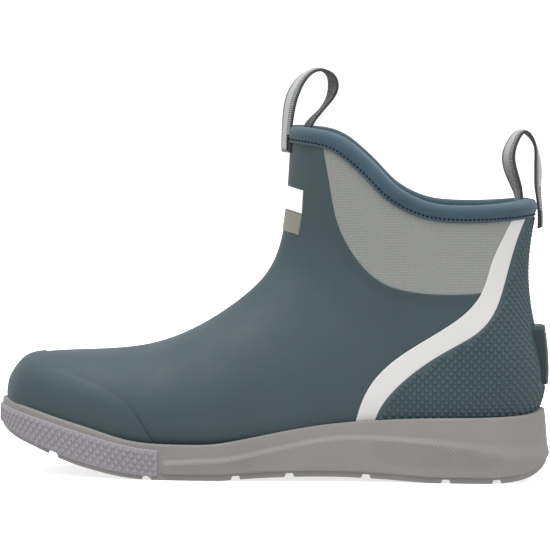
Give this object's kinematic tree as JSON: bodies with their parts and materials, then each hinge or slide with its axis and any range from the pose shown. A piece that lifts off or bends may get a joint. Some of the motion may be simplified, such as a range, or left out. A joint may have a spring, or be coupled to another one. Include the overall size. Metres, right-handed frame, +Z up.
{
  "type": "ankle deck boot",
  "caption": "Ankle-height pull-on rubber deck boot for the left foot, with stretch side panels, a bumper toe and webbing pull loops.",
  "frame": {"origin": "on the ground, under the middle of the overall length and width", "axes": "+X towards the heel, +Y towards the medial side (inside of the foot), +Z up"},
  "size_m": [0.2806, 0.0986, 0.2082],
  "materials": {
    "outsole_rubber": "matte",
    "midsole_foam": "matte",
    "bumper_rubber": "matte",
    "upper_rubber": "satin",
    "heel_cover_rubber": "matte textured",
    "stripe": "matte",
    "gore_fabric": "woven stretch",
    "liner_fabric": "knit",
    "binding_neoprene": "matte foam rubber with fabric face",
    "thread": "twisted",
    "webbing": "ribbed webbing",
    "reflective_tape": "reflective woven",
    "kick_plate_rubber": "matte",
    "label_white": "matte",
    "label_grey": "matte",
    "lasting_board": "pressed fibre board",
    "footbed_foam": "open-cell foam",
    "stiffener_board": "thermoplastic stiffener"
  },
  "bodies": {
    "boot": {"outsole": "outsole_rubber", "midsole": "midsole_foam", "toe_bumper": "bumper_rubber", "upper_shell": "upper_rubber", "toe_cap": "upper_rubber", "heel_cover": "heel_cover_rubber", "side_stripe_lateral": "stripe", "side_stripe_medial": "stripe", "gore_panel_lateral": "gore_fabric", "gore_panel_medial": "gore_fabric", "bootie_liner": "liner_fabric", "collar_binding": "binding_neoprene", "collar_stitching": "thread", "front_loop_outer_end": "webbing", "front_loop_inner_end": "webbing", "front_loop_bartack": "thread", "rear_loop_outer_end": "webbing", "rear_loop_inner_end": "webbing", "rear_loop_bartack": "thread", "heel_kick_plate": "kick_plate_rubber", "front_label_upper": "label_white", "front_label_lower": "label_grey", "insole_board": "lasting_board", "footbed": "footbed_foam", "footbed_cover": "liner_fabric", "toe_puff": "stiffener_board", "heel_stiffener": "stiffener_board"},
    "front_loop": {"front_pull_loop": "webbing", "front_loop_tape": "reflective_tape"},
    "rear_loop": {"rear_pull_loop": "webbing", "rear_loop_tape": "reflective_tape"}
  },
  "joints": [
    {"name": "front_loop_fold", "type": "hinge", "parent": "boot", "child": "front_loop", "pos_m": [0.00806, 0.00042, 0.17445], "axis": [0, 1, 0], "range_deg": [-90, 90], "stiffness_Nm_per_rad": 0.005},
    {"name": "rear_loop_fold", "type": "hinge", "parent": "boot", "child": "rear_loop", "pos_m": [0.12766, 0.00042, 0.13815], "axis": [0, 1, 0], "range_deg": [-90, 90], "stiffness_Nm_per_rad": 0.005}
  ]
}
